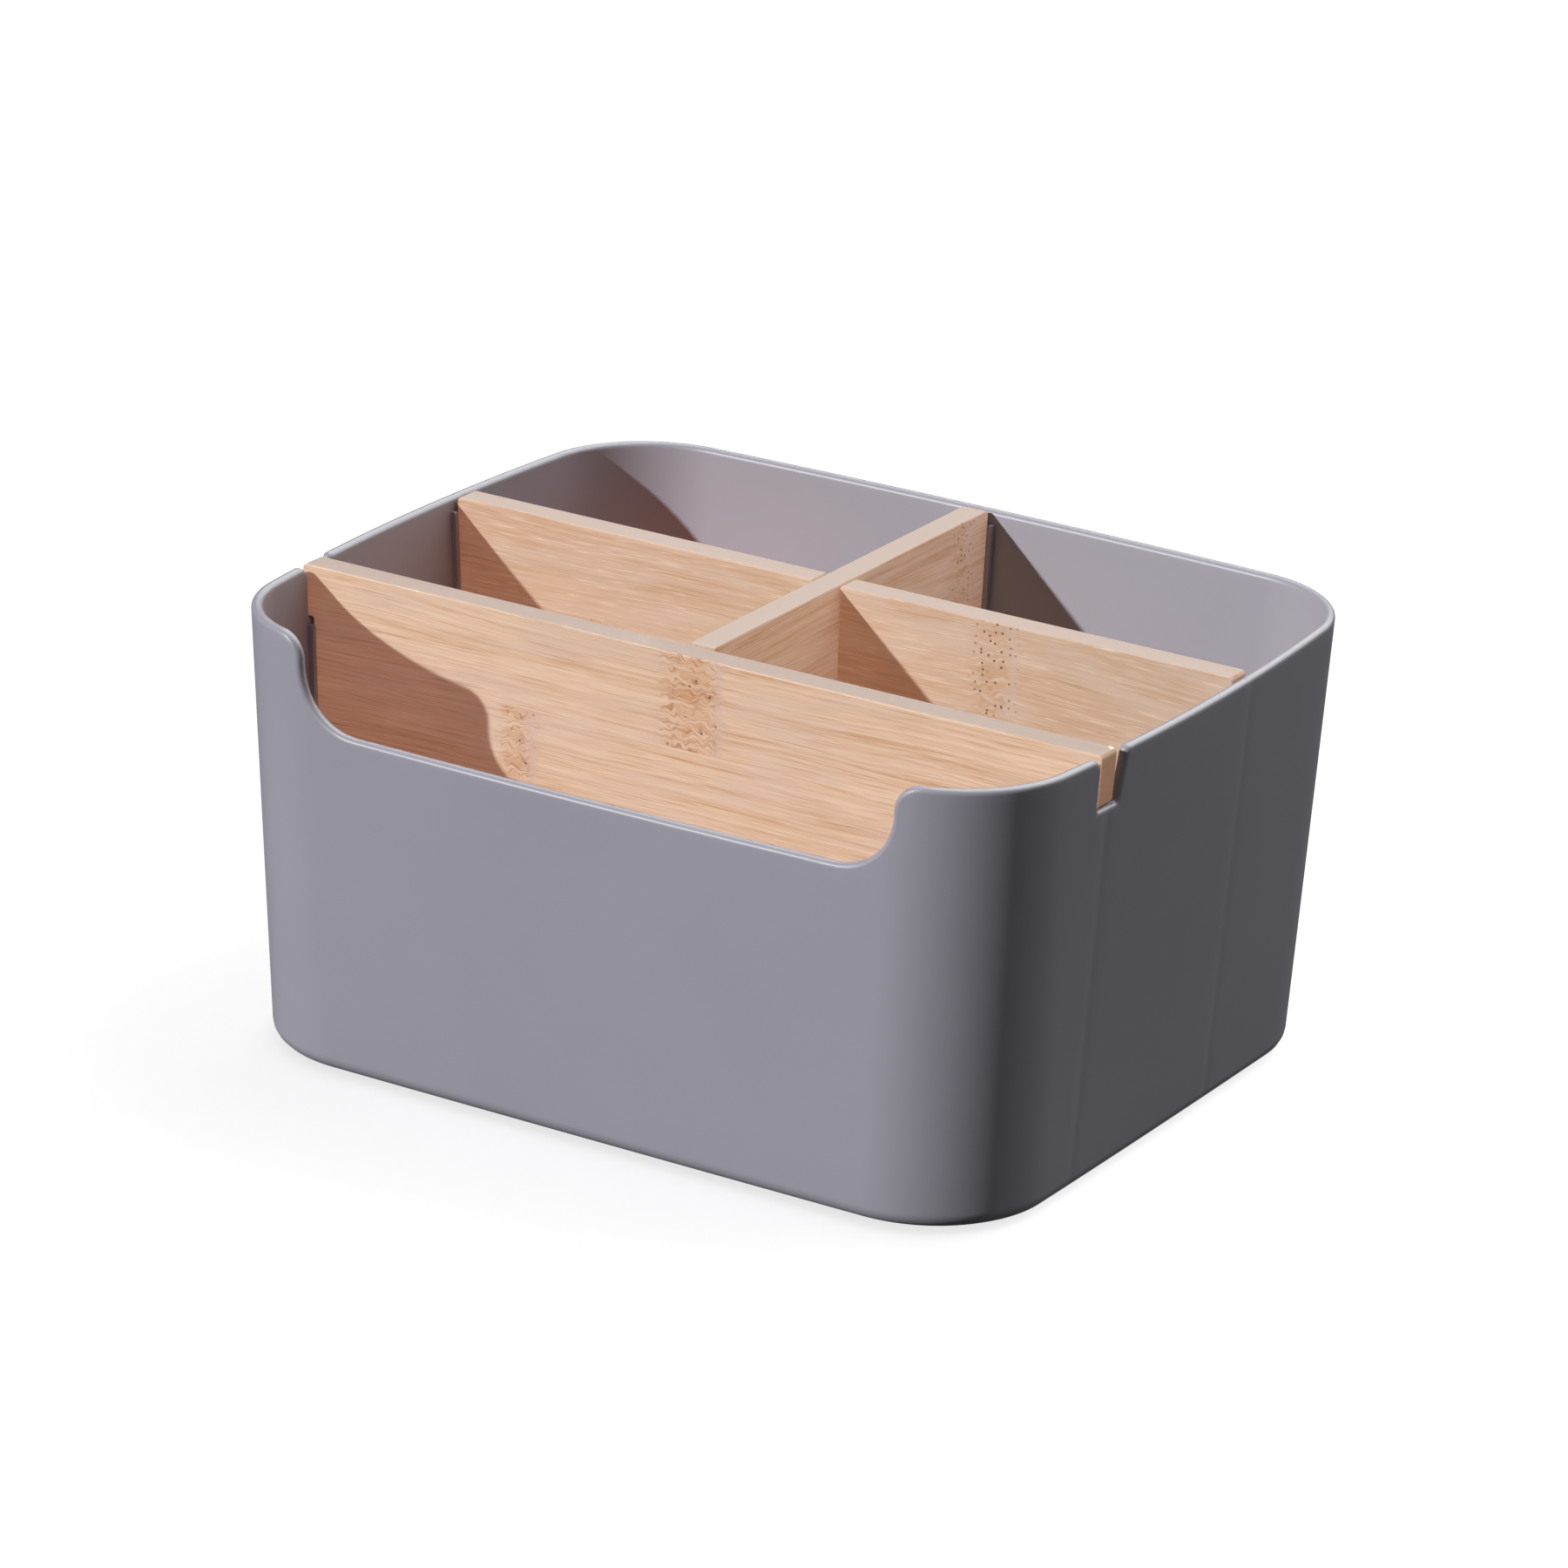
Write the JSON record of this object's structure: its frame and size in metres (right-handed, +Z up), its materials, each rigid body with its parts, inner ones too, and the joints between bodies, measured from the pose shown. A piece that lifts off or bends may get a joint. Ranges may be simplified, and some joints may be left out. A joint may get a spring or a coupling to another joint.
{
  "type": "desk storage box",
  "caption": "Open desk storage box: drafted moulded tub with rounded corners and a low front, divided by lift-out bamboo boards into pockets.",
  "frame": {"origin": "centre of the box's outline, on the surface that its foot pads stand on", "axes": "+X to the right along the low front, +Y from the low front to the back, +Z up"},
  "size_m": [0.1998, 0.1613, 0.0985],
  "materials": {
    "shell_plastic": "fine matte, cool grey",
    "bamboo": "sanded and oiled, fine straight grain",
    "pad_rubber": "matte"
  },
  "bodies": {
    "tub": {"shell": "shell_plastic", "foot_pad_front_left": "pad_rubber", "foot_pad_front_right": "pad_rubber", "foot_pad_rear_left": "pad_rubber", "foot_pad_rear_right": "pad_rubber"},
    "front_divider": {"front_board": "bamboo"},
    "middle_divider": {"middle_board": "bamboo"},
    "cross_divider": {"cross_board": "bamboo"}
  },
  "joints": [
    {"name": "front_board_lift", "type": "slide", "parent": "tub", "child": "front_divider", "axis": [0, 0, 1], "range_m": [0, 0.1]},
    {"name": "middle_board_lift", "type": "slide", "parent": "tub", "child": "middle_divider", "axis": [0, 0, 1], "range_m": [0, 0.1]},
    {"name": "cross_board_lift", "type": "slide", "parent": "middle_divider", "child": "cross_divider", "axis": [0, 0, 1], "range_m": [0, 0.1]}
  ]
}
